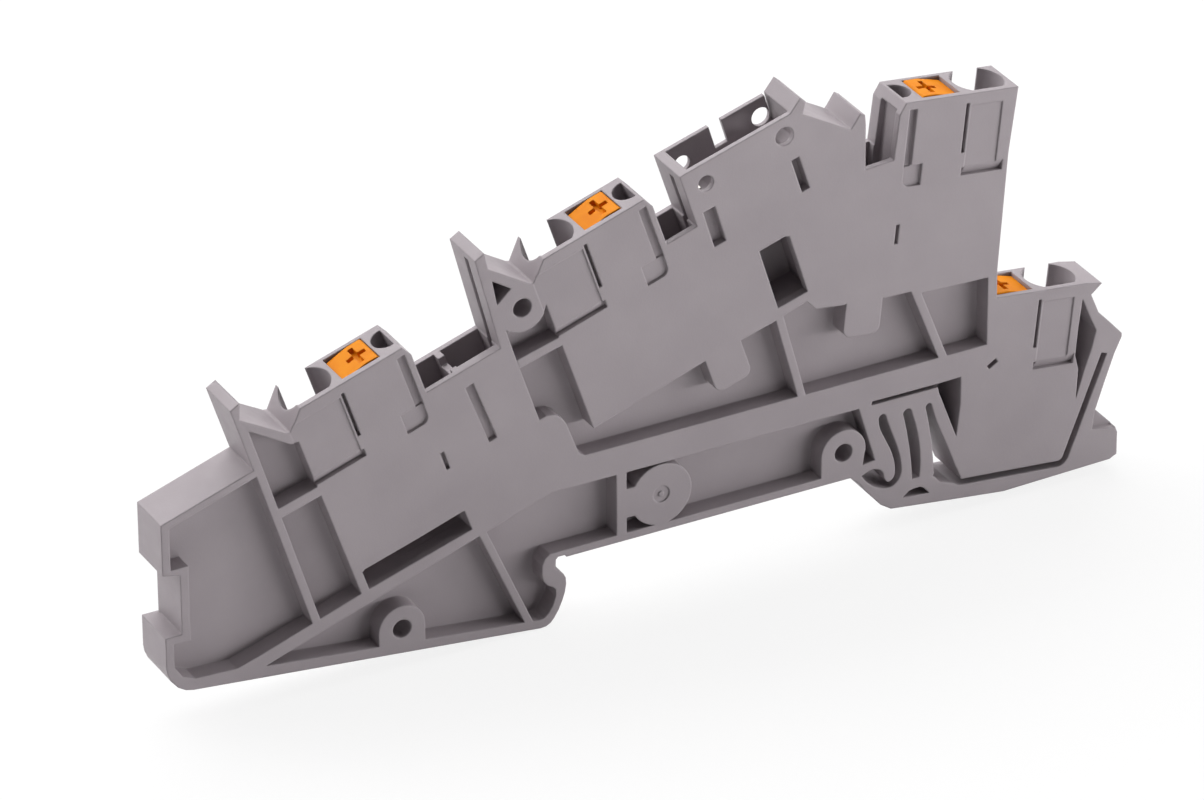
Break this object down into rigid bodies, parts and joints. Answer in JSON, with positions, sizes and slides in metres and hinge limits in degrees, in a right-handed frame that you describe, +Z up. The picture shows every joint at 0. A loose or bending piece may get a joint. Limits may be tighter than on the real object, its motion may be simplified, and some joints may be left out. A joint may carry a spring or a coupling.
{
  "type": "push-in terminal block",
  "caption": "Narrow stepped rail terminal block with push-in wire clamps, orange release buttons, a sprung snap foot and plug sockets at the top.",
  "frame": {"origin": "middle of the flat seat that rests on the mounting rail, half way across the block's width", "axes": "+X along the block towards the snap foot, +Y from the closed face to the open face, +Z up, away from the rail"},
  "size_m": [0.1058, 0.0052, 0.0508],
  "materials": {
    "housing": "fine matt grey moulding",
    "button": "satin orange moulding",
    "current_bar": "tinned copper alloy strip",
    "spring": "bent spring steel strip"
  },
  "bodies": {
    "block": {"housing": "housing", "lower_current_bar": "current_bar", "upper_left_current_bar": "current_bar", "upper_right_current_bar": "current_bar", "lower_left_spring": "spring", "upper_left_spring": "spring", "upper_right_spring": "spring", "lower_right_spring": "spring"},
    "lower_left_button": {"lower_left_button": "button"},
    "upper_left_button": {"upper_left_button": "button"},
    "upper_right_button": {"upper_right_button": "button"},
    "lower_right_button": {"lower_right_button": "button"}
  },
  "joints": [
    {"name": "lower_left_press", "type": "slide", "parent": "block", "child": "lower_left_button", "axis": [0.3173, 0, -0.9483], "range_m": [0, 0.001], "stiffness_N_per_m": 4000, "springref_m": -0.001, "deforming": ["lower_left_spring"]},
    {"name": "upper_left_press", "type": "slide", "parent": "block", "child": "upper_left_button", "axis": [0.3173, 0, -0.9483], "range_m": [0, 0.001], "stiffness_N_per_m": 4000, "springref_m": -0.001, "deforming": ["upper_left_spring"]},
    {"name": "upper_right_press", "type": "slide", "parent": "block", "child": "upper_right_button", "axis": [-0.1045, 0, -0.9945], "range_m": [0, 0.001], "stiffness_N_per_m": 4000, "springref_m": -0.001, "deforming": ["upper_right_spring"]},
    {"name": "lower_right_press", "type": "slide", "parent": "block", "child": "lower_right_button", "axis": [-0.1045, 0, -0.9945], "range_m": [0, 0.001], "stiffness_N_per_m": 4000, "springref_m": -0.001, "deforming": ["lower_right_spring"]}
  ]
}
